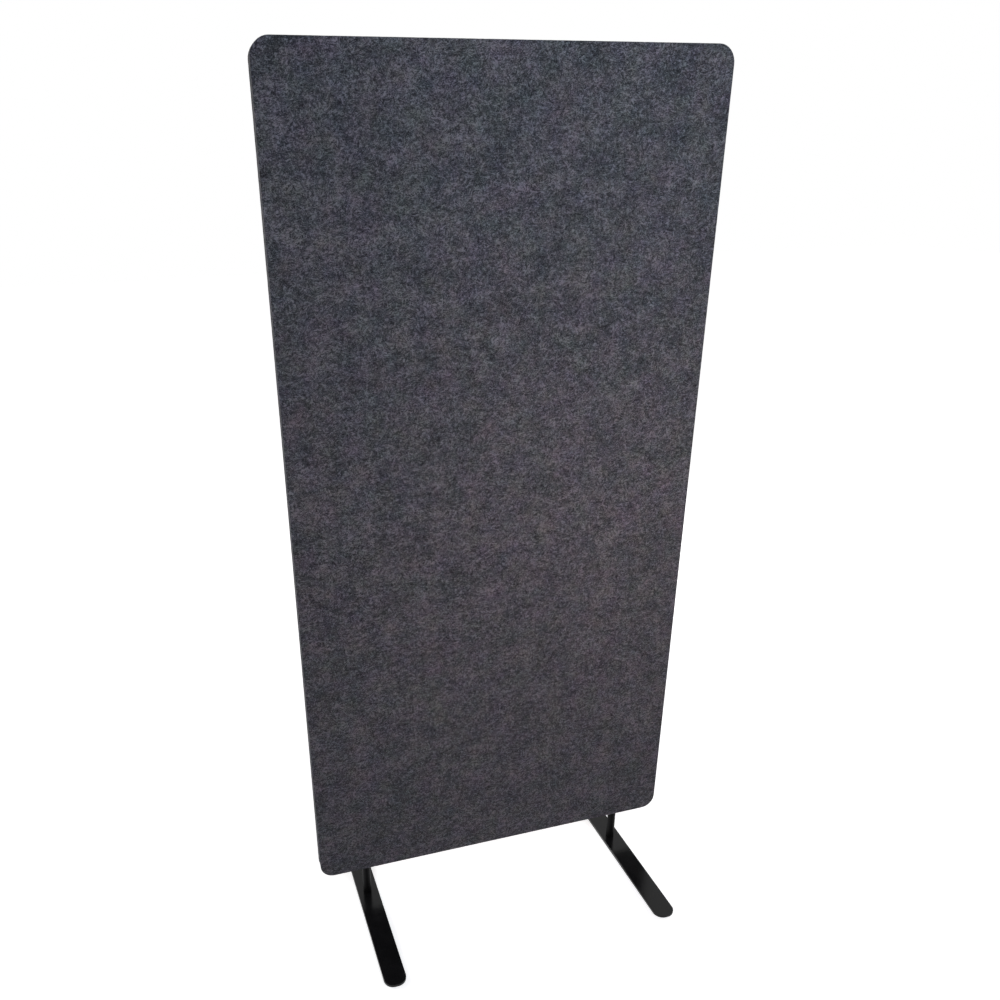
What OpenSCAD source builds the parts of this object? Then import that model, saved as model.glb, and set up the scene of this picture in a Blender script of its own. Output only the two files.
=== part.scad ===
// Free-standing acoustic divider screen: a felt-covered panel on two posts with flat feet.
// The origin is on the floor under the panel's centre. The front faces -Y and +Z is up.

/* [Panel] */
// Width of the panel
panel_w = 800; // [600:10:1200]
// Height of the panel without its feet
panel_h = 1570; // [900:10:1900]
// Clear height between the floor and the panel
floor_gap = 80; // [70:1:160]
// Radius of the panel's corners
corner_r = 30; // [12:1:40]

/* [Felt] */
// Thickness of the front and rear felt sheets
sheet_t = 3; // [2:0.5:5]
// Rounding of the sheets' outer edges
sheet_edge_r = 1.2; // [0.5:0.1:1.8]
// Thickness of the felt strip round the panel's edge
strip_t = 3; // [2:0.5:5]
// How far the strip lies inside the edges of the sheets
strip_inset = 0.5; // [0.2:0.1:1]
// Open butt joint of the strip under the panel's centre
strip_seam = 0.6; // [0.3:0.1:2]
// Space round a post in the strip
strip_hole_gap = 0.3; // [0.1:0.1:1]

/* [Timber frame] */
// Thickness of the frame's timber
frame_t = 22; // [21:1:34]
// Width of the two stiles
stile_w = 44; // [41:1:55]
// Height of the top rail
top_rail_h = 44; // [34:1:70]
// Height of the cross rail
cross_rail_h = 44; // [34:1:70]
// Height of the cross rail's middle, as a share of the frame's height
cross_rail_share = 0.5; // [0.35:0.01:0.65]
// Height of the bottom rail, which holds the inserts
bottom_rail_h = 70; // [60:1:110]

/* [Frame dowels] */
// Diameter of a dowel
dowel_d = 8; // [6:0.5:10]
// Length of a dowel
dowel_len = 40; // [24:1:40]
// Height of rail for each dowel in its end
dowel_pitch = 22; // [18:1:30]
// Bevel of a dowel's ends
dowel_bevel = 1; // [0.4:0.1:1.5]
// Space between a dowel and the wall of its hole
dowel_fit = 0.05; // [0.02:0.01:0.1]
// Space past each end of a dowel
dowel_end_gap = 1; // [0.3:0.1:3]

/* [Core] */
// Space between a core slab and the frame round it
core_gap = 0.3; // [0:0.1:2]

/* [Posts] */
// Distance from a post's axis to the panel's side
post_inset = 101; // [95:1:200]
// Diameter of a post
post_d = 18; // [15:0.5:19]
// Bevel of a post's ends
post_bevel = 0.4; // [0.2:0.1:0.8]

/* [Studs and inserts] */
// Diameter of a stud
stud_d = 10; // [8:0.5:10]
// Length of stud inside the post
stud_in_post = 26; // [16:1:28]
// Length of stud inside the insert
stud_in_insert = 38; // [20:1:40]
// Bevel of a stud's ends
stud_bevel = 1; // [0.4:0.1:1.5]
// Width across the flats of the stud's hexagon socket
stud_key_w = 5; // [4:0.5:6]
// Depth of the stud's hexagon socket
stud_key_depth = 5; // [3:0.5:8]
// Space round a stud where it is screwed in
thread_fit = 0.05; // [0.02:0.01:0.1]
// Diameter of an insert's sleeve
insert_d = 14; // [12.5:0.5:15]
// Length of an insert
insert_len = 42; // [41:1:50]
// Width of the flange round the sleeve
insert_flange_w = 2.5; // [1:0.5:2.5]
// Thickness of the flange
insert_flange_t = 1.5; // [1:0.1:3]
// Space between an insert and the wall of its hole
insert_fit = 0.05; // [0.02:0.01:0.1]
// Space left past the end of a screw, stud or insert in its hole
hole_end_gap = 2; // [0.5:0.5:4]

/* [Feet] */
// Length of a foot
foot_len = 530; // [400:10:700]
// Width of a foot
foot_w = 46; // [36:1:80]
// Radius of a foot's corners
foot_corner_r = 20; // [10:1:22]
// Thickness of a foot
foot_t = 5; // [5:0.5:8]
// Bevel along the top edge of a foot
foot_bevel = 0.6; // [0.2:0.1:1]

/* [Foot screws] */
// Diameter of the screw's shank
screw_d = 8; // [6:0.5:8]
// Diameter of the countersunk head
screw_head_d = 15.5; // [12:0.5:16]
// Length of the screw with its head
screw_len = 20; // [14:1:22]
// Width across the flats of the screw's hexagon socket
screw_key_w = 5; // [4:0.5:6]
// Depth of the screw's hexagon socket
screw_key_depth = 2.6; // [1.5:0.1:3.2]
// Space round the shank in the foot
screw_gap = 0.3; // [0.1:0.05:0.5]

/* [Glide pads] */
// Diameter of a pad
pad_d = 24; // [16:1:32]
// Thickness of a pad
pad_t = 1.5; // [1:0.1:4]
// Bevel of a pad's lower edge
pad_bevel = 0.4; // [0.1:0.1:0.8]

/* [Hidden] */

$fn = 64;
// Sides of a hexagon socket
hex_sides = 6;
// Overrun of every cut past the face that it starts from
cut = 1;

felt_color = "#45454c";
strip_color = "#55565c";
timber_color = "#d9bd8f";
dowel_color = "#c39a63";
core_color = "#e6e2d6";
steel_color = "#c4c6c9";
coat_color = "#191a1c";
pad_color = "#2d2d2e";

// The strip lies round the timber frame
edge_t = strip_inset + strip_t;
frame_w = panel_w - 2 * edge_t;
frame_h = panel_h - 2 * edge_t;
frame_r = corner_r - edge_t;
frame_bottom = floor_gap + edge_t;
frame_top = frame_bottom + frame_h;
frame_middle = frame_bottom + frame_h / 2;

// Rails run between the stiles, and each is given by its lower edge
rail_len = frame_w - 2 * stile_w;
top_rail_z = frame_top - top_rail_h;
cross_rail_z = frame_bottom + frame_h * cross_rail_share - cross_rail_h / 2;
bottom_rail_z = frame_bottom;
// Lower edge and height of every rail
rails = [[top_rail_z, top_rail_h], [cross_rail_z, cross_rail_h], [bottom_rail_z, bottom_rail_h]];

post_x = panel_w / 2 - post_inset;
foot_top = pad_t + foot_t;
post_len = frame_bottom - foot_top;
screw_head_t = (screw_head_d - screw_d) / 2;
// A foot's corners never take its whole width
foot_r = min(foot_corner_r, foot_w / 2 - foot_bevel);
// Centre of a glide pad, along the foot
pad_y = (foot_len - foot_w) / 2;

function dowel_count(rail_h) = max(2, round(rail_h / dowel_pitch));
// Width across the corners of a hexagon from the width across its flats
function hex_d(flats) = flats / cos(180 / hex_sides);

// Rectangle with true arcs at its corners, centred
module round_rect(w, h, r) {
    square([w - 2 * r, h], center = true);
    square([w, h - 2 * r], center = true);
    for (x = [-1, 1], y = [-1, 1])
        translate([x * (w / 2 - r), y * (h / 2 - r)]) circle(r);
}

// Cross-section of a sheet, flat below and rounded at its two upper corners
module sheet_section(w, t, edge) {
    translate([-w / 2, 0]) square([w, t - edge]);
    translate([edge - w / 2, 0]) square([w - 2 * edge, t]);
    for (side = [-1, 1]) translate([side * (w / 2 - edge), t - edge]) circle(edge);
}

// Half of the section above, turned into a disc with a rounded upper rim
module sheet_corner(r, t, edge) {
    rotate_extrude() {
        square([r, t - edge]);
        square([r - edge, t]);
        translate([r - edge, t - edge]) circle(edge);
    }
}

// Sheet with round corners and a rounded upper rim, lying on the XY plane
module soft_sheet(w, h, r, t, edge) {
    rotate([90, 0, 0]) linear_extrude(h - 2 * r, center = true) sheet_section(w, t, edge);
    rotate([90, 0, 90]) linear_extrude(w - 2 * r, center = true) sheet_section(h, t, edge);
    for (x = [-1, 1], y = [-1, 1])
        translate([x * (w / 2 - r), y * (h / 2 - r), 0]) sheet_corner(r, t, edge);
}

// Rod on the Z axis with a bevel at both ends
module bevelled_rod(d, len, bevel) {
    rotate_extrude() polygon([
        [0, 0], [d / 2 - bevel, 0], [d / 2, bevel], [d / 2, len - bevel], [d / 2 - bevel, len], [0, len],
    ]);
}

// Carries the panel's flat shapes upright, centred through the panel's thickness
module upright(t) {
    rotate([90, 0, 0]) linear_extrude(t, center = true) children();
}

// Places a child at the left post's axis, or at the right one
module at_post(side) {
    translate([side * post_x, 0, 0]) children();
}

module felt_sheet() {
    color(felt_color)
        translate([0, -frame_t / 2, frame_middle]) rotate([90, 0, 0])
            soft_sheet(panel_w, panel_h, corner_r, sheet_t, sheet_edge_r);
}

module front_felt() {
    felt_sheet();
}

module rear_felt() {
    mirror([0, 1, 0]) felt_sheet();
}

// Felt strip glued round the frame, open at its butt joint and at the two posts
module edge_strip() {
    color(strip_color) difference() {
        translate([0, 0, frame_middle]) upright(frame_t) difference() {
            round_rect(panel_w - 2 * strip_inset, panel_h - 2 * strip_inset, corner_r - strip_inset);
            round_rect(frame_w, frame_h, frame_r);
        }
        translate([0, 0, floor_gap])
            cube([strip_seam, frame_t + 2 * cut, 2 * (edge_t + cut)], center = true);
        for (side = [-1, 1]) at_post(side) translate([0, 0, floor_gap - cut])
            cylinder(d = post_d + 2 * strip_hole_gap, h = edge_t + 2 * cut);
    }
}

// Dowel holes or dowels of one end of every rail, lying along X across the joint with the stile
module dowel_row(side, d, len, bevel) {
    for (rail = rails) let (count = dowel_count(rail[1])) for (i = [0:count - 1])
        translate([side * rail_len / 2 - len / 2, 0, rail[0] + rail[1] * (i + 0.5) / count])
            rotate([0, 90, 0]) bevelled_rod(d, len, bevel);
}

module dowel_holes(side) {
    dowel_row(side, dowel_d + 2 * dowel_fit, dowel_len + 2 * dowel_end_gap, dowel_bevel);
}

module frame_dowels() {
    color(dowel_color) for (side = [-1, 1]) dowel_row(side, dowel_d, dowel_len, dowel_bevel);
}

// Stile with the frame's rounded outer corners and blind holes for the dowels
module stile(side) {
    color(timber_color) difference() {
        translate([0, 0, frame_middle]) upright(frame_t) intersection() {
            round_rect(frame_w, frame_h, frame_r);
            translate([side * (frame_w - stile_w) / 2, 0]) square([stile_w, frame_h], center = true);
        }
        dowel_holes(side);
    }
}

module left_stile() {
    stile(-1);
}

module right_stile() {
    stile(1);
}

// Rail between the stiles, given by its lower edge and its height
module rail(z, h) {
    color(timber_color) difference() {
        translate([-rail_len / 2, -frame_t / 2, z]) cube([rail_len, frame_t, h]);
        for (side = [-1, 1]) dowel_holes(side);
    }
}

module top_rail() {
    rail(top_rail_z, top_rail_h);
}

module cross_rail() {
    rail(cross_rail_z, cross_rail_h);
}

// The bottom rail is bored from below for the sleeves and flanges of the inserts
module bottom_rail() {
    color(timber_color) difference() {
        rail(bottom_rail_z, bottom_rail_h);
        for (side = [-1, 1]) at_post(side) translate([0, 0, frame_bottom]) {
            translate([0, 0, -cut])
                cylinder(d = insert_d + 2 * insert_fit, h = insert_len + hole_end_gap + cut);
            translate([0, 0, -cut])
                cylinder(d = insert_d + 2 * (insert_flange_w + insert_fit), h = insert_flange_t + cut);
        }
    }
}

// Core slab that fills the frame between two heights
module core(low, high) {
    color(core_color) translate([core_gap - rail_len / 2, -frame_t / 2, low + core_gap])
        cube([rail_len - 2 * core_gap, frame_t, high - low - 2 * core_gap]);
}

module upper_core() {
    core(cross_rail_z + cross_rail_h, top_rail_z);
}

module lower_core() {
    core(bottom_rail_z + bottom_rail_h, cross_rail_z);
}

// Sleeve with a flange that lies flush in the bottom rail's lower face
module insert(side) {
    color(steel_color) at_post(side) translate([0, 0, frame_bottom]) difference() {
        union() {
            cylinder(d = insert_d, h = insert_len);
            cylinder(d = insert_d + 2 * insert_flange_w, h = insert_flange_t);
        }
        translate([0, 0, -cut]) cylinder(d = stud_d + 2 * thread_fit, h = insert_len + 2 * cut);
    }
}

module insert_left() {
    insert(-1);
}

module insert_right() {
    insert(1);
}

// Headless screw that joins the post to the insert, driven by the hexagon socket in its upper end
module stud(side) {
    stud_len = stud_in_post + stud_in_insert;
    color(steel_color) at_post(side) translate([0, 0, frame_bottom - stud_in_post]) difference() {
        bevelled_rod(stud_d, stud_len, stud_bevel);
        translate([0, 0, stud_len - stud_key_depth])
            cylinder(d = hex_d(stud_key_w), h = stud_key_depth + cut, $fn = hex_sides);
    }
}

module stud_left() {
    stud(-1);
}

module stud_right() {
    stud(1);
}

// Round post that stands on the foot and bears on the insert's flange, bored at both ends
module post(side) {
    color(coat_color) at_post(side) difference() {
        translate([0, 0, foot_top]) bevelled_rod(post_d, post_len, post_bevel);
        translate([0, 0, foot_top - cut])
            cylinder(d = screw_d + 2 * thread_fit, h = screw_len - foot_t + hole_end_gap + cut);
        translate([0, 0, frame_bottom - stud_in_post - hole_end_gap])
            cylinder(d = stud_d + 2 * thread_fit, h = stud_in_post + hole_end_gap + cut);
    }
}

module post_left() {
    post(-1);
}

module post_right() {
    post(1);
}

// Cross-section of a bar that is w wide and t thick, with its two upper corners bevelled
module bar_section(w, t, bevel) {
    polygon([
        [-w / 2, 0], [w / 2, 0], [w / 2, t - bevel], [w / 2 - bevel, t], [bevel - w / 2, t],
        [-w / 2, t - bevel],
    ]);
}

// Flat bar along Y on the XY plane, with round corners and a bevelled top edge
module flat_bar(w, len, r, t, bevel) {
    rotate([90, 0, 0]) linear_extrude(len - 2 * r, center = true) bar_section(w, t, bevel);
    rotate([90, 0, 90]) linear_extrude(w - 2 * r, center = true) bar_section(len, t, bevel);
    for (x = [-1, 1], y = [-1, 1]) translate([x * (w / 2 - r), y * (len / 2 - r), 0])
        rotate_extrude() polygon([[0, 0], [r, 0], [r, t - bevel], [r - bevel, t], [0, t]]);
}

// Flat foot with a countersunk hole from below
module foot_plate(side) {
    color(coat_color) at_post(side) translate([0, 0, pad_t]) difference() {
        flat_bar(foot_w, foot_len, foot_r, foot_t, foot_bevel);
        translate([0, 0, -cut]) cylinder(d = screw_d + 2 * screw_gap, h = foot_t + 2 * cut);
        translate([0, 0, -cut])
            cylinder(d1 = screw_head_d + 2 * cut, d2 = screw_d, h = screw_head_t + cut);
    }
}

module foot_plate_left() {
    foot_plate(-1);
}

module foot_plate_right() {
    foot_plate(1);
}

// Countersunk screw, flush with the foot's lower face, with a hexagon socket in its head
module foot_screw(side) {
    color(steel_color) at_post(side) translate([0, 0, pad_t]) difference() {
        union() {
            cylinder(d1 = screw_head_d, d2 = screw_d, h = screw_head_t);
            cylinder(d = screw_d, h = screw_len);
        }
        translate([0, 0, -cut])
            cylinder(d = hex_d(screw_key_w), h = screw_key_depth + cut, $fn = hex_sides);
    }
}

module foot_screw_left() {
    foot_screw(-1);
}

module foot_screw_right() {
    foot_screw(1);
}

// Two discs stuck under the foot, one near each end
module glide_pads(side) {
    color(pad_color) at_post(side) for (end = [-1, 1]) translate([0, end * pad_y, 0])
        rotate_extrude() polygon([
            [0, 0], [pad_d / 2 - pad_bevel, 0], [pad_d / 2, pad_bevel], [pad_d / 2, pad_t], [0, pad_t],
        ]);
}

module glide_pads_left() {
    glide_pads(-1);
}

module glide_pads_right() {
    glide_pads(1);
}

front_felt();
rear_felt();
edge_strip();
left_stile();
right_stile();
top_rail();
cross_rail();
bottom_rail();
frame_dowels();
upper_core();
lower_core();
insert_left();
insert_right();
stud_left();
stud_right();
post_left();
post_right();
foot_plate_left();
foot_plate_right();
foot_screw_left();
foot_screw_right();
glide_pads_left();
glide_pads_right();
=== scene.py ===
"""Looks of a free-standing acoustic screen: felt-covered panel, round posts, flat foot bars."""
import math

import bmesh
import bpy
from mathutils import Matrix, Vector, noise


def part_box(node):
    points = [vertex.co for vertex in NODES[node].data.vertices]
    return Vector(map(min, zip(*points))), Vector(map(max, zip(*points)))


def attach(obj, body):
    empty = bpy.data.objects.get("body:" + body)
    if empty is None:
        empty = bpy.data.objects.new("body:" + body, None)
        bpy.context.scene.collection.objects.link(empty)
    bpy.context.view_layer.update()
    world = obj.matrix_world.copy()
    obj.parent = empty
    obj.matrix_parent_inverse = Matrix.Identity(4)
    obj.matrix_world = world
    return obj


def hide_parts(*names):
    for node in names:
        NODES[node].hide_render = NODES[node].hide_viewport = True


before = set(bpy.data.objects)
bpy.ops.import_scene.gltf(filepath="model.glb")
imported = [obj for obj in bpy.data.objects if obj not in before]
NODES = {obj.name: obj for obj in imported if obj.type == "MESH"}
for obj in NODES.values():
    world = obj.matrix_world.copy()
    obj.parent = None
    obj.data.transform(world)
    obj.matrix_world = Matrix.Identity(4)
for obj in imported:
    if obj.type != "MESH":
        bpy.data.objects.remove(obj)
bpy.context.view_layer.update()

MM = 0.001

# Camera

CAMERA_PLACE = (-0.5662, -1.4744, 1.4605)
CAMERA_TURN = (65.73, 1.094, -16.231)       # degrees about X, Y and Z
SENSOR = 36.0                               # millimetres, as the focal length
FOCAL_LENGTH = 31.456
SHIFT = (0.0755, 0.07)                      # the photograph is a crop, off the lens's axis
CLIP = (0.05, 60)


def add_camera():
    data = bpy.data.cameras.new("camera")
    data.sensor_fit = "HORIZONTAL"
    data.sensor_width = SENSOR
    data.lens = FOCAL_LENGTH
    data.shift_x, data.shift_y = SHIFT
    data.clip_start, data.clip_end = CLIP
    camera = bpy.data.objects.new("camera", data)
    camera.location = CAMERA_PLACE
    camera.rotation_euler = [math.radians(angle) for angle in CAMERA_TURN]
    bpy.context.scene.collection.objects.link(camera)
    bpy.context.scene.camera = camera


# Node shorthand

MIX_A, MIX_B, MIX_RESULT = 6, 7, 2          # the colour sockets of a Mix node


class Shader:
    """Builds the node tree of one material with short calls that return sockets."""

    def __init__(self, name):
        self.material = bpy.data.materials.new(name)
        self.material.use_nodes = True
        self.tree = self.material.node_tree
        self.tree.nodes.clear()
        self.surface = self.new("ShaderNodeBsdfPrincipled")
        self.put(self.new("ShaderNodeOutputMaterial").inputs["Surface"], self.surface.outputs[0])
        self.place = self.new("ShaderNodeTexCoord").outputs["Object"]

    def new(self, kind, **settings):
        node = self.tree.nodes.new(kind)
        for key, value in settings.items():
            setattr(node, key, value)
        return node

    def put(self, socket, value):
        if isinstance(value, bpy.types.NodeSocket):
            self.tree.links.new(value, socket)
        else:
            socket.default_value = value

    def set(self, **values):
        """Gives the surface numbers, colours or sockets, by the names of its own sockets."""
        for key, value in values.items():
            self.put(self.surface.inputs[key.replace("_", " ")], value)

    def math(self, operation, a, b=0.0, clamp=False):
        node = self.new("ShaderNodeMath", operation=operation, use_clamp=clamp)
        self.put(node.inputs[0], a)
        self.put(node.inputs[1], b)
        return node.outputs[0]

    def add_share(self, value, part, share):
        """value + share * part"""
        node = self.new("ShaderNodeMath", operation="MULTIPLY_ADD")
        self.put(node.inputs[0], part)
        node.inputs[1].default_value = share
        self.put(node.inputs[2], value)
        return node.outputs[0]

    def shift(self, vector, offset, share):
        """vector + share * offset"""
        node = self.new("ShaderNodeVectorMath", operation="MULTIPLY_ADD")
        self.put(node.inputs[0], offset)
        node.inputs[1].default_value = (share,) * 3
        self.put(node.inputs[2], vector)
        return node.outputs[0]

    def stretch(self, vector, sizes, turn=(0, 0, 0)):
        """Turns the space and then divides it by sizes, so that one unit is one grain."""
        turned = self.new("ShaderNodeMapping")
        self.put(turned.inputs["Vector"], vector)
        turned.inputs["Rotation"].default_value = [math.radians(angle) for angle in turn]
        scaled = self.new("ShaderNodeMapping")
        self.put(scaled.inputs["Vector"], turned.outputs[0])
        scaled.inputs["Scale"].default_value = [1 / size for size in sizes]
        return scaled.outputs[0]

    def noise(self, vector, scale=1.0, detail=2.0, roughness=0.5, colour=False):
        node = self.new("ShaderNodeTexNoise")
        self.put(node.inputs["Vector"], vector)
        node.inputs["Scale"].default_value = scale
        node.inputs["Detail"].default_value = detail
        node.inputs["Roughness"].default_value = roughness
        return node.outputs[1 if colour else 0]

    def span(self, value, low, high, to_low=0.0, to_high=1.0):
        """Takes low..high smoothly to to_low..to_high."""
        node = self.new("ShaderNodeMapRange", interpolation_type="SMOOTHSTEP")
        self.put(node.inputs[0], value)
        for socket, number in zip(node.inputs[1:5], (low, high, to_low, to_high)):
            socket.default_value = number
        return node.outputs[0]

    def mix(self, share, a, b, blend="MIX"):
        node = self.new("ShaderNodeMix", data_type="RGBA", blend_type=blend)
        self.put(node.inputs[0], share)
        self.put(node.inputs[MIX_A], a)
        self.put(node.inputs[MIX_B], b)
        return node.outputs[MIX_RESULT]

    def ramp(self, value, stops):
        node = self.new("ShaderNodeValToRGB")
        self.put(node.inputs[0], value)
        band = node.color_ramp
        while len(band.elements) < len(stops):
            band.elements.new(0.5)
        for element, (position, shade) in zip(band.elements, stops):
            element.position, element.color = position, shade
        return node.outputs[0]

    def bump(self, height, distance):
        node = self.new("ShaderNodeBump")
        node.inputs["Strength"].default_value = 1.0
        node.inputs["Distance"].default_value = distance
        self.put(node.inputs["Height"], height)
        return node.outputs[0]


def linear(red, green, blue):
    """A colour given as 0..255 display values, as the linear RGBA that the nodes take."""
    parts = [value / 255 for value in (red, green, blue)]
    return tuple(p / 12.92 if p <= 0.04045 else ((p + 0.055) / 1.055) ** 2.4 for p in parts) + (1.0,)


# Felt

STRAND_RUN, STRAND_WIDTH = 16 * MM, 1.3 * MM  # pale and dark strands of the melange
PALE_TURNS = (9, -17, 38, 80, -52)            # directions, in degrees in the plane of the sheet
DARK_TURNS = (-6, 24, 66, 118)
PALE_BAND, DARK_BAND = (0.50, 0.72), (0.50, 0.74)   # where the noise turns into a strand
LINT_RUN, LINT_WIDTH = 5 * MM, 1.3 * MM       # short fluff between the strands
LINT_TURNS = (4, -24, 31)
HAIR_RUN, HAIR_GAP = 34 * MM, 6 * MM          # single fibres that lie on top
HAIR_TURNS = (27, 96, -21)
HAIR_PATCH = 5 * MM                           # they show for about this length at a time
HAIR_BAND = 0.035                             # half the width of a fibre, as a share of the noise
CLUMPS = (15 * MM, 8 * MM, 8 * MM)            # loose clumps of fibre
CLOUD = 45 * MM                               # wide soft differences of tone and hue
CURL, CURL_SCALE = 16 * MM, 28                # how far and how often, per metre, fibres bend
STRAND_SHARE, HAIR_SHARE, LINT_SHARE = 0.52, 0.42, 0.62
CLUMP_SHARE, CLOUD_SHARE = 0.8, 0.45
MIDDLE_TONE = 0.43                            # tone of felt where every field is at its mean
HUE_SPREAD = 0.43                             # patches of slightly bluer or warmer fibre
FELT_BUMP = 0.9 * MM


def highest(s, values):
    result = values[0]
    for value in values[1:]:
        result = s.math("MAXIMUM", result, value)
    return result


def fibres(s, vector, run, width, turns, detail=1.0):
    """Noise fields drawn out along several directions in the XZ plane."""
    return [s.noise(s.stretch(vector, (run, width, width), (0, turn, 0)), detail=detail, roughness=0.6)
            for turn in turns]


def strands(s, vector, turns, band):
    """Short soft streaks that lie in several directions in the XZ plane."""
    return highest(s, [s.span(field, *band)
                       for field in fibres(s, vector, STRAND_RUN, STRAND_WIDTH, turns, 1.5)])


def hairs(s, vector, turns):
    """Thin curved lines: where a stretched noise crosses its middle value."""
    away = [s.math("ABSOLUTE", s.math("SUBTRACT", field, 0.5))
            for field in fibres(s, vector, HAIR_RUN, HAIR_GAP, turns)]
    return highest(s, [s.span(distance, 0.0, HAIR_BAND, 1, 0) for distance in away])


def felt_material(name, dark, middle, pale):
    """Needle-punched melange felt, from the colours of its dark, middle and pale fibres."""
    s = Shader(name)
    curls = s.noise(s.place, scale=CURL_SCALE, detail=1, colour=True)
    curled = s.shift(s.place, curls, CURL)
    light = strands(s, curled, PALE_TURNS, PALE_BAND)
    deep = strands(s, curled, DARK_TURNS, DARK_BAND)
    bared = s.span(s.noise(s.place, scale=1 / HAIR_PATCH, detail=1), 0.42, 0.62)
    hair = s.math("MULTIPLY", hairs(s, curled, HAIR_TURNS), bared)
    lint = fibres(s, curled, LINT_RUN, LINT_WIDTH, LINT_TURNS, 2.0)
    clumps = s.noise(s.stretch(curled, CLUMPS), detail=2, roughness=0.6)
    clouds = s.noise(s.place, scale=1 / CLOUD, detail=2, roughness=0.5)
    tone = s.math("MULTIPLY", s.math("SUBTRACT", light, deep), STRAND_SHARE)
    for part, share in ((hair, HAIR_SHARE), (clumps, CLUMP_SHARE), (clouds, CLOUD_SHARE)):
        tone = s.add_share(tone, part, share)
    for field in lint:
        tone = s.add_share(tone, field, LINT_SHARE)
    mean = 0.5 * (CLUMP_SHARE + CLOUD_SHARE + LINT_SHARE * len(lint))
    tone = s.math("SUBTRACT", tone, mean - MIDDLE_TONE, clamp=True)
    colour = s.ramp(tone, ((0.0, dark), (0.5, middle), (1.0, pale)))
    hues = s.noise(s.place, scale=1 / CLOUD, detail=3, roughness=0.75, colour=True)
    tint = s.shift((1 - HUE_SPREAD / 2,) * 3, hues, HUE_SPREAD)
    s.set(Base_Color=s.mix(1.0, colour, tint, "MULTIPLY"), Roughness=0.95,
          Specular_IOR_Level=0.03, Sheen_Weight=0.08, Sheen_Roughness=0.6,
          Normal=s.bump(tone, FELT_BUMP))
    return s.material


# Other materials

RING_SPREAD = 30.8 * MM                       # drift of the timber's rings across its grain


def wood_material(name, pale, deep, along, ring):
    """Planed timber whose grain runs along one axis, 0 for X and 2 for Z, with rings that far apart."""
    s = Shader(name)

    def grain(across, length, detail, roughness):
        sizes = [across] * 3
        sizes[along] = length
        return s.noise(s.stretch(s.place, sizes), detail=detail, roughness=roughness)

    drift = grain(14 * MM, 420 * MM, 3, 0.5)
    pores = grain(0.35 * MM, 24 * MM, 2, 0.6)
    rings = s.math("FRACT", s.math("MULTIPLY", drift, RING_SPREAD / ring))
    late = s.math("MULTIPLY", s.span(rings, 0.0, 0.72), s.span(rings, 1.0, 0.86))
    tone = s.math("ADD", s.math("MULTIPLY", late, 0.7), s.math("MULTIPLY", pores, 0.35), clamp=True)
    s.set(Base_Color=s.ramp(tone, ((0.12, pale), (0.95, deep))),
          Roughness=s.span(tone, 0, 1, 0.62, 0.48), Specular_IOR_Level=0.4,
          Normal=s.bump(s.math("SUBTRACT", late, pores), 0.12 * MM))
    return s.material


def wadding_material(name):
    """Loose white polyester wadding."""
    s = Shader(name)
    curled = s.shift(s.place, s.noise(s.place, scale=60, detail=2, colour=True), 12 * MM)
    light = strands(s, curled, (8, 63, 118), PALE_BAND)
    lumps = s.noise(s.place, scale=1 / (22 * MM), detail=3, roughness=0.6)
    tone = s.math("ADD", s.math("MULTIPLY", light, 0.55), s.math("MULTIPLY", lumps, 0.5), clamp=True)
    s.set(Base_Color=s.ramp(tone, ((0.1, linear(196, 190, 176)), (0.9, linear(236, 232, 222)))),
          Roughness=1.0, Specular_IOR_Level=0.1, Sheen_Weight=0.2, Sheen_Roughness=0.5,
          Normal=s.bump(tone, 1.5 * MM))
    return s.material


def coat_material(name, black, smooth, rough, specular):
    """Black powder coat: an orange-peel skin, uneven gloss, a little dust and rubbed patches.

    black holds the display values of its darkest and palest patches.
    """
    s = Shader(name)
    peel = s.noise(s.place, scale=1 / (1.3 * MM), detail=1.5, roughness=0.4)
    patches = s.noise(s.place, scale=1 / (38 * MM), detail=3, roughness=0.6)
    rubs = s.span(s.noise(s.stretch(s.place, (5 * MM, 60 * MM, 60 * MM)), detail=3, roughness=0.7),
                  0.60, 0.80)
    dust = s.span(s.noise(s.place, scale=1 / (0.7 * MM), detail=1), 0.70, 0.78)
    dark, pale = (linear(level, level, level + 1) for level in black)
    shade = s.ramp(patches, ((0.3, dark), (0.7, pale)))
    shade = s.mix(s.math("MULTIPLY", rubs, 0.2), shade, linear(34, 34, 36))
    shade = s.mix(s.math("MULTIPLY", dust, 0.2), shade, linear(110, 108, 104))
    s.set(Base_Color=shade, Roughness=s.math("ADD", s.span(patches, 0.2, 0.8, smooth, rough),
                                             s.math("MULTIPLY", rubs, 0.08)),
          Specular_IOR_Level=specular, Normal=s.bump(peel, 0.04 * MM))
    return s.material


def zinc_material(name):
    """Zinc plating with a faint spangle and turning lines."""
    s = Shader(name)
    spangle = s.noise(s.place, scale=1 / (2.5 * MM), detail=2, roughness=0.6)
    scores = s.noise(s.stretch(s.place, (6 * MM, 6 * MM, 0.15 * MM)), detail=2)
    s.set(Base_Color=s.ramp(spangle, ((0.3, linear(176, 178, 182)), (0.7, linear(204, 206, 208)))),
          Metallic=1.0, Roughness=s.math("ADD", s.span(spangle, 0, 1, 0.22, 0.40),
                                         s.math("MULTIPLY", scores, 0.1)),
          Normal=s.bump(scores, 0.02 * MM))
    return s.material


def rubber_material(name):
    """Matt black rubber, gritty and a little worn."""
    s = Shader(name)
    grit = s.noise(s.place, scale=1 / (0.8 * MM), detail=3, roughness=0.7)
    wear = s.noise(s.place, scale=1 / (7 * MM), detail=2)
    tone = s.math("ADD", s.math("MULTIPLY", grit, 0.6), s.math("MULTIPLY", wear, 0.4))
    s.set(Base_Color=s.ramp(tone, ((0.3, linear(22, 22, 22)), (0.75, linear(50, 49, 47)))),
          Roughness=s.span(tone, 0.2, 0.8, 0.7, 0.95), Specular_IOR_Level=0.35,
          Normal=s.bump(grit, 0.15 * MM))
    return s.material


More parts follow.
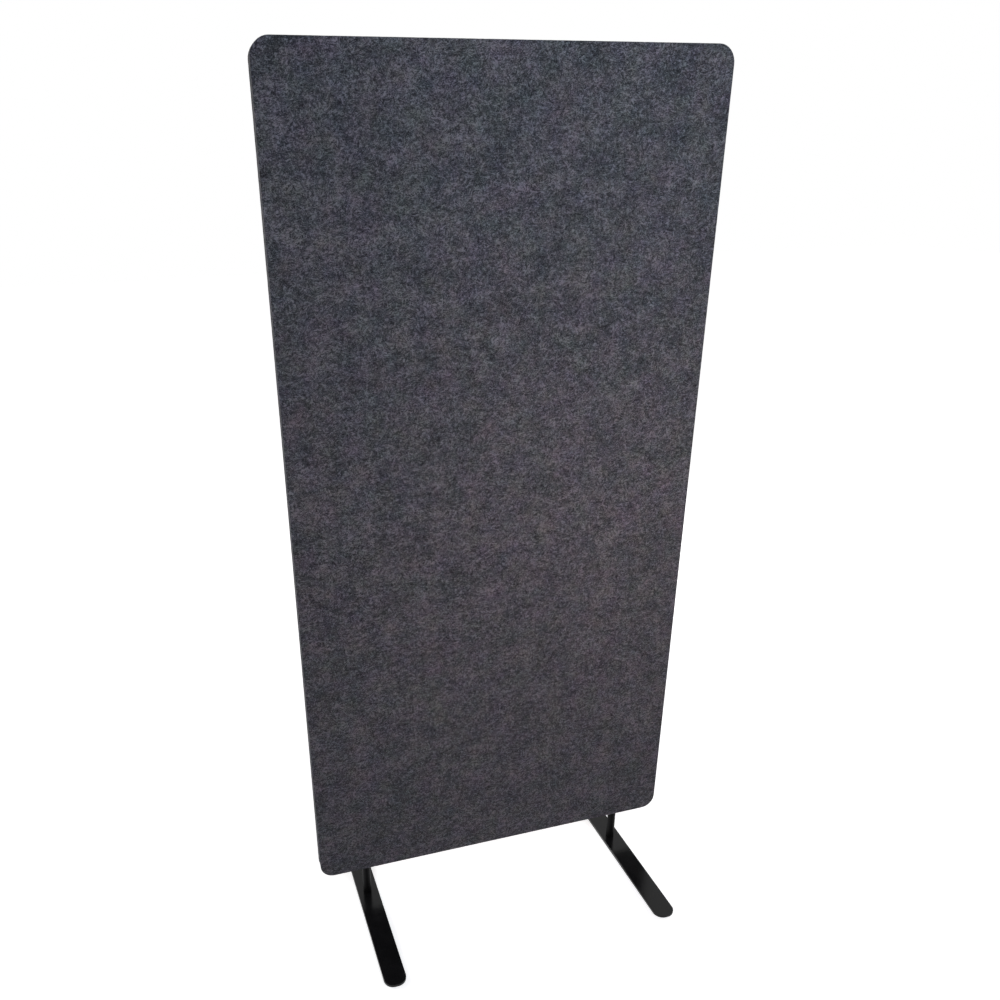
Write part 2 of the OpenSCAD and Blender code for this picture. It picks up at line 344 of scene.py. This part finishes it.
FELT = felt_material("felt", linear(38, 37, 41), linear(69, 68, 74), linear(119, 117, 125))
# The edge strip's felt is a paler copy of the face felt: its extra paleness is painted light on the
# panel's sides.
EDGE_FELT_PAINTED_LIGHT = felt_material("edge_felt", linear(52, 52, 56), linear(84, 84, 90), linear(124, 124, 130))
PINE = (linear(222, 192, 146), linear(176, 128, 76))
BEECH = (linear(206, 164, 116), linear(164, 116, 74))
PINE_UPRIGHT = wood_material("pine_upright", *PINE, along=2, ring=3.2 * MM)
PINE_ACROSS = wood_material("pine_across", *PINE, along=0, ring=3.2 * MM)
BEECH_ACROSS = wood_material("beech_across", *BEECH, along=0, ring=1.6 * MM)
WADDING = wadding_material("wadding")
FOOT_COAT = coat_material("foot_coat", (11, 16), smooth=0.15, rough=0.23, specular=0.22)
POST_COAT = coat_material("post_coat", (6, 11), smooth=0.50, rough=0.60, specular=0.08)
ZINC = zinc_material("zinc")
RUBBER = rubber_material("rubber")

# CAD nodes that stay

KEPT = {  # material, bevel width and the nodes that take them
    PINE_UPRIGHT: (0.8 * MM, ("left_stile", "right_stile")),
    PINE_ACROSS: (0.8 * MM, ("top_rail", "cross_rail", "bottom_rail")),
    BEECH_ACROSS: (0.0, ("frame_dowels",)),
    POST_COAT: (0.25 * MM, ("post_left", "post_right")),
    FOOT_COAT: (0.25 * MM, ("foot_plate_left", "foot_plate_right")),
    ZINC: (0.12 * MM, ("insert_left", "insert_right", "stud_left", "stud_right",
                       "foot_screw_left", "foot_screw_right")),
    RUBBER: (0.25 * MM, ("glide_pads_left", "glide_pads_right")),
}
BEVEL_FROM = math.radians(30)


def dress_cad_nodes():
    for material, (width, names) in KEPT.items():
        for name in names:
            node = NODES[name]
            node.data.materials.clear()
            node.data.materials.append(material)
            if width:
                bevel = node.modifiers.new("soft_edges", "BEVEL")
                bevel.width, bevel.segments = width, 2
                bevel.limit_method, bevel.angle_limit = "ANGLE", BEVEL_FROM
                bevel.harden_normals = True


# Soft sheets and slabs

SMOOTH_TO = math.radians(40)
FACE_DEPTH = 0.5 * MM       # a ring no deeper than this follows the relief of the face
WOBBLE_SCALE = 110          # waves of the rim for each metre
BACK_SEED = 900             # gives the two faces of a slab different relief


def lines(low, high, cell):
    """Evenly spaced places from low to high, about a cell apart."""
    count = max(1, round((high - low) / cell))
    return [low + (high - low) * i / count for i in range(count + 1)]


def to_disc(a, b):
    """Maps the unit square's corner on to the quarter disc."""
    return a * math.sqrt(1 - b * b / 2), b * math.sqrt(1 - a * a / 2)


class Outline:
    """A rounded rectangle in the XZ plane: its inner grid and the stations along its border."""

    def __init__(self, low, high, radius, rim, cell):
        self.arc_low = (low[0] + radius, low[1] + radius)
        self.arc_high = (high[0] - radius, high[1] - radius)
        self.inner_radius = radius - rim
        axes = []
        for axis in (0, 1):
            start, end = low[axis] + rim, high[axis] - rim
            corner_cell = min(cell, self.inner_radius / 4)
            axes.append(lines(start, self.arc_low[axis], corner_cell)[:-1]
                        + lines(self.arc_low[axis], self.arc_high[axis], cell)
                        + lines(self.arc_high[axis], end, corner_cell)[1:])
        self.columns, self.rows = axes
        self.points, self.outward = {}, {}
        for i, x in enumerate(self.columns):
            for j, z in enumerate(self.rows):
                self.points[i, j], self.outward[i, j] = self.round_off(x, z)
        last_i, last_j = len(self.columns) - 1, len(self.rows) - 1
        self.border = ([(i, 0) for i in range(last_i)] + [(last_i, j) for j in range(last_j)]
                       + [(i, last_j) for i in range(last_i, 0, -1)]
                       + [(0, j) for j in range(last_j, 0, -1)])

    def round_off(self, x, z):
        """The place of a grid point once the corners are round, and which way is outward there."""
        over = []
        for value, low, high in ((x, self.arc_low[0], self.arc_high[0]),
                                 (z, self.arc_low[1], self.arc_high[1])):
            over.append(min(value - low, 0) if value < low else max(value - high, 0))
        if over[0] and over[1]:
            a, b = to_disc(abs(over[0]) / self.inner_radius, abs(over[1]) / self.inner_radius)
            across = math.copysign(a * self.inner_radius, over[0])
            up = math.copysign(b * self.inner_radius, over[1])
            arc_x = self.arc_low[0] if over[0] < 0 else self.arc_high[0]
            arc_z = self.arc_low[1] if over[1] < 0 else self.arc_high[1]
            return (arc_x + across, arc_z + up), Vector((across, up)).normalized()
        step = (math.copysign(1, over[0]), 0) if abs(over[0]) > abs(over[1]) else (
            0, math.copysign(1, over[1]))
        return (x, z), Vector(step)


def relief(x, z, seed, sizes):
    """Sum of soft noise fields: pairs of wavelength and height, both in metres."""
    total = 0.0
    for wavelength, height in sizes:
        total += height * noise.noise(Vector((x / wavelength, seed, z / wavelength)))
    return total


def slab(name, node, profile, radius, rim, cell, sizes, wobble=0.0, both_faces=False):
    """A felt sheet or wadding slab in the space of a CAD node.

    Its grid ends a rim inside the outline, which has corners of that radius. From there profile
    lists rings to the back, each by its inset from the outline and its depth below the seen face.
    sizes is the relief of a face, and wobble how far the rim strays inward.
    """
    low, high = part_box(node)
    front = low.y + high.y < 0 or both_faces
    face_y, inward = (low.y, 1) if front else (high.y, -1)
    outline = Outline((low.x, low.z), (high.x, high.z), radius, rim, cell)
    mesh = bmesh.new()
    seed = sum(map(ord, node)) * 0.137

    def add(x, z, depth, lift=0.0):
        return mesh.verts.new((x, face_y + inward * (depth + lift), z))

    def grid(depth, sign):
        made = {}
        for key, (x, z) in outline.points.items():
            height = abs(relief(x, z, seed + depth * BACK_SEED, sizes))
            made[key] = add(x, z, depth, sign * height)
        for i in range(len(outline.columns) - 1):
            for j in range(len(outline.rows) - 1):
                mesh.faces.new([made[i, j], made[i + 1, j], made[i + 1, j + 1], made[i, j + 1]])
        return [made[key] for key in outline.border]

    rings = [grid(0.0, 1)]
    for inset, depth in profile:
        ring = []
        for key in outline.border:
            (x, z), out = outline.points[key], outline.outward[key]
            stray = noise.noise(Vector((x * WOBBLE_SCALE, seed, z * WOBBLE_SCALE)))
            reach = rim - inset - wobble * abs(stray)
            on_face = depth < FACE_DEPTH
            height = inset / rim * abs(relief(x, z, seed, sizes)) if on_face else 0.0
            ring.append(add(x + out.x * reach, z + out.y * reach, depth, height))
        rings.append(ring)
    if both_faces:
        rings.append(grid(high.y - low.y, -1))
    else:
        mesh.faces.new(rings[-1])
    for inner, outer in zip(rings, rings[1:]):
        for k in range(len(inner)):
            nxt = (k + 1) % len(inner)
            mesh.faces.new([inner[k], inner[nxt], outer[nxt], outer[k]])
    return finish_mesh(name, mesh)


def finish_mesh(name, mesh):
    """Makes an object of a bmesh, smooth but for its sharp edges."""
    bmesh.ops.recalc_face_normals(mesh, faces=mesh.faces)
    data = bpy.data.meshes.new(name)
    mesh.to_mesh(data)
    mesh.free()
    data.shade_smooth()
    data.set_sharp_from_angle(angle=SMOOTH_TO)
    piece = bpy.data.objects.new(name, data)
    bpy.context.scene.collection.objects.link(piece)
    return piece


def keep(piece, node, material):
    """Gives a soft piece its material, hangs it from the root body and hides the CAD node it stands
    for.
    """
    piece.data.materials.append(material)
    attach(piece, "root")
    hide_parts(node)


CORNER, RIM, FELT_CELL = 30 * MM, 12 * MM, 6 * MM
FELT_PROFILE = [(inset * MM, depth * MM) for inset, depth in (
    (8, 0), (5, 0), (3, 0.01), (2, 0.03), (1.3, 0.08), (0.8, 0.22), (0.4, 0.48), (0.12, 0.82),
    (0.02, 1.2), (0, 1.8), (0, 2.5), (0.05, 2.85), (0.25, 3.0))]
FELT_RELIEF = ((90 * MM, 0.30 * MM), (17 * MM, 0.12 * MM), (7 * MM, 0.10 * MM))
FELT_WOBBLE = 0.25 * MM
CORE_CORNER, CORE_RIM, CORE_CELL = 10 * MM, 8 * MM, 12 * MM
CORE_PROFILE = [(inset * MM, depth * MM) for inset, depth in (
    (5, 0.4), (3, 1.2), (1.5, 2.8), (0.8, 5), (0.4, 11), (0.8, 17), (1.5, 19.2), (3, 20.8),
    (5, 21.6))]
CORE_RELIEF = ((60 * MM, 0.5 * MM), (18 * MM, 0.3 * MM))


def add_felt_sheets():
    for node in ("front_felt", "rear_felt"):
        sheet = slab(node + "_sheet", node, FELT_PROFILE, CORNER, RIM, FELT_CELL,
                     FELT_RELIEF, FELT_WOBBLE)
        keep(sheet, node, FELT)


def add_wadding():
    for part in ("upper", "lower"):
        wadding = slab(part + "_wadding", part + "_core", CORE_PROFILE, CORE_CORNER, CORE_RIM,
                       CORE_CELL, CORE_RELIEF, both_faces=True)
        keep(wadding, part + "_core", WADDING)


# Edge strip

STRIP_SEAM = 0.6 * MM
STRIP_ARC_STEPS = 16
STRIP_FUZZ = 0.12 * MM                        # unevenness of the pressed face
STRIP_FUZZ_SCALE = (170, 260)                 # its waves for each metre, along and across
STRIP_FACE = 0.5 * MM                         # points no deeper than this are on the pressed face
POST_HOLE_RADIUS = 9.3 * MM
DRILL_DEPTH, DRILL_SIDES = 20 * MM, 48
STRIP_SECTION = [(inset * MM, y * MM) for inset, y in (
    (3.0, -11.0), (0.9, -11.0), (0.35, -10.9), (0.12, -10.5), (0.03, -9.6), (0, -7), (0, -3.5),
    (0, 0), (0, 3.5), (0, 7), (0.03, 9.6), (0.12, 10.5), (0.35, 10.9), (0.9, 11.0), (3.0, 11.0))]


def strip_stations(low, high, radius):
    """Places and outward directions round the outline, from the seam's one side to the other."""
    left, right = low.x + radius, high.x - radius
    bottom, top = low.z + radius, high.z - radius
    half = STRIP_SEAM / 2
    found = [((x, low.z), (0, -1)) for x in lines(half, right, FELT_CELL)[:-1]]
    runs = (((right, bottom), -90, [((high.x, z), (1, 0)) for z in lines(bottom, top, FELT_CELL)]),
            ((right, top), 0, [((x, high.z), (0, 1)) for x in lines(right, left, -FELT_CELL)]),
            ((left, top), 90, [((low.x, z), (-1, 0)) for z in lines(top, bottom, -FELT_CELL)]),
            ((left, bottom), 180, [((x, low.z), (0, -1)) for x in lines(left, -half, FELT_CELL)]))
    for centre, start, straight in runs:
        for step in range(STRIP_ARC_STEPS):
            turn = math.radians(start + 90 * step / STRIP_ARC_STEPS)
            out = (math.cos(turn), math.sin(turn))
            found.append(((centre[0] + out[0] * radius, centre[1] + out[1] * radius), out))
        found += straight
    return found


def strip_outline():
    """The strip's lowest and highest corners and the radius of its outer corners."""
    low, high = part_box("edge_strip")
    return low, high, CORNER - (low.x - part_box("front_felt")[0].x)


def add_edge_strip():
    """The felt strip round the frame, open at its seam and bored for the posts."""
    low, high, radius = strip_outline()
    along, across = STRIP_FUZZ_SCALE
    mesh = bmesh.new()
    rings = []
    for (x, z), out in strip_stations(low, high, radius):
        ring = []
        for inset, y in STRIP_SECTION:
            fuzz = STRIP_FUZZ * abs(noise.noise(Vector((x * along, y * across, z * along))))
            depth = inset + (fuzz if inset < STRIP_FACE else 0.0)
            ring.append(mesh.verts.new((x - out[0] * depth, y, z - out[1] * depth)))
        rings.append(ring)
    for one, two in zip(rings, rings[1:]):
        for k in range(len(one)):
            nxt = (k + 1) % len(one)
            mesh.faces.new([one[k], one[nxt], two[nxt], two[k]])
    mesh.faces.new(rings[0])
    mesh.faces.new(rings[-1])
    strip = finish_mesh("felt_edge_strip", mesh)
    cut_post_holes(strip, low.z)
    keep(strip, "edge_strip", EDGE_FELT_PAINTED_LIGHT)


def cut_post_holes(strip, z):
    for name in ("post_left", "post_right"):
        low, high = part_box(name)
        drill = bmesh.new()
        place = Matrix.Translation(((low.x + high.x) / 2, (low.y + high.y) / 2, z))
        bmesh.ops.create_cone(drill, cap_ends=True, segments=DRILL_SIDES, radius1=POST_HOLE_RADIUS,
                              radius2=POST_HOLE_RADIUS, depth=DRILL_DEPTH, matrix=place)
        cutter = finish_mesh("drill", drill)
        cut = strip.modifiers.new("post_hole", "BOOLEAN")
        cut.operation, cut.solver, cut.object = "DIFFERENCE", "EXACT", cutter
        bpy.context.view_layer.update()
        shape = bpy.data.meshes.new_from_object(
            strip.evaluated_get(bpy.context.evaluated_depsgraph_get()))
        strip.modifiers.clear()
        strip.data = shape
        bpy.data.objects.remove(cutter)


# Floor, surround and lights

FLOOR_HALF = 14.0
FLOOR_SHADE, SPECK_SHADE = (0.75, 0.75, 0.75, 1), (0.6, 0.6, 0.6, 1)
GLOW_NEAR, GLOW_FAR = 0.64, 0.92             # brings open floor to white, only where it is seen
GLOW_FROM, GLOW_TO = 0.6, 3.5                # distance from the object's centre
SKY_LIGHT = (0.162, 0.153, 0.156, 1)

MIRRORED = ("rear_left", "rear_right")       # the front pair stays out of the feet's gloss
LAMPS = (  # name, place, aim, width, height, watts, colour
    ("overhead", (0.28, -1.3, 1.95), (0.1, 0, 0.9), 0.8, 0.8, 15.6, (0.70, 0.88, 1.0)),
    ("middle", (0.25, -0.8, 0.86), (0.18, 0, 0.82), 0.5, 0.5, 3.1, (1.0, 0.71, 0.61)),
    ("rear_left", (-2.4, 1.7, 1.1), (-0.1, 0, 0.9), 1.4, 1.6, 70, (1.0, 0.99, 0.98)),
    ("rear_right", (2.7, 1.1, 0.9), (0.1, 0, 0.9), 1.2, 1.4, 55, (0.97, 0.99, 1.0)),
)


def camera_or_mirror(s):
    """1 where a ray comes straight from the camera, a reflection or clear glass."""
    path = s.new("ShaderNodeLightPath")
    seen = s.math("MAXIMUM", path.outputs["Is Camera Ray"], path.outputs["Is Glossy Ray"])
    return s.math("MAXIMUM", seen, path.outputs["Is Transmission Ray"])


def add_floor():
    """A pale floor that takes shadows and that the camera sees as white away from them."""
    s = Shader("pale_floor")
    speck = s.noise(s.place, scale=30, detail=3)
    s.set(Base_Color=s.mix(s.span(speck, 0.3, 0.7, 0, 0.04), FLOOR_SHADE, SPECK_SHADE),
          Roughness=0.9, Specular_IOR_Level=0.0, Emission_Color=(1, 1, 1, 1))
    distance = s.new("ShaderNodeVectorMath", operation="LENGTH")
    s.put(distance.inputs[0], s.place)
    glow = s.span(distance.outputs["Value"], GLOW_FROM, GLOW_TO, GLOW_NEAR, GLOW_FAR)
    s.put(s.surface.inputs["Emission Strength"], s.math("MULTIPLY", camera_or_mirror(s), glow))
    mesh = bmesh.new()
    bmesh.ops.create_grid(mesh, x_segments=1, y_segments=1, size=FLOOR_HALF)
    floor = finish_mesh("floor", mesh)
    floor.data.materials.append(s.material)


def add_world():
    """A white surround for the camera and for reflections, and a weak light for the rest."""
    world = bpy.data.worlds.new("studio")
    bpy.context.scene.world = world
    world.use_nodes = True
    tree = world.node_tree
    tree.nodes.clear()
    path = tree.nodes.new("ShaderNodeLightPath")
    output = tree.nodes.new("ShaderNodeOutputWorld")
    light = tree.nodes.new("ShaderNodeBackground")
    light.inputs["Color"].default_value = SKY_LIGHT
    last = light.outputs[0]
    for ray in ("Is Camera Ray", "Is Glossy Ray", "Is Transmission Ray"):
        white = tree.nodes.new("ShaderNodeBackground")
        white.inputs["Color"].default_value = (1, 1, 1, 1)
        choose = tree.nodes.new("ShaderNodeMixShader")
        tree.links.new(path.outputs[ray], choose.inputs[0])
        tree.links.new(last, choose.inputs[1])
        tree.links.new(white.outputs[0], choose.inputs[2])
        last = choose.outputs[0]
    tree.links.new(last, output.inputs[0])


def add_lamps():
    for name, place, aim, width, height, watts, colour in LAMPS:
        data = bpy.data.lights.new(name, "AREA")
        data.shape, data.size, data.size_y = "RECTANGLE", width, height
        data.energy, data.color = watts, colour
        lamp = bpy.data.objects.new(name, data)
        lamp.visible_glossy = name in MIRRORED
        lamp.location = place
        lamp.rotation_euler = (Vector(aim) - Vector(place)).to_track_quat("-Z", "Y").to_euler()
        bpy.context.scene.collection.objects.link(lamp)


add_camera()
add_felt_sheets()
add_wadding()
add_edge_strip()
dress_cad_nodes()
add_floor()
add_world()
add_lamps()
bpy.context.scene.view_settings.view_transform = "Standard"
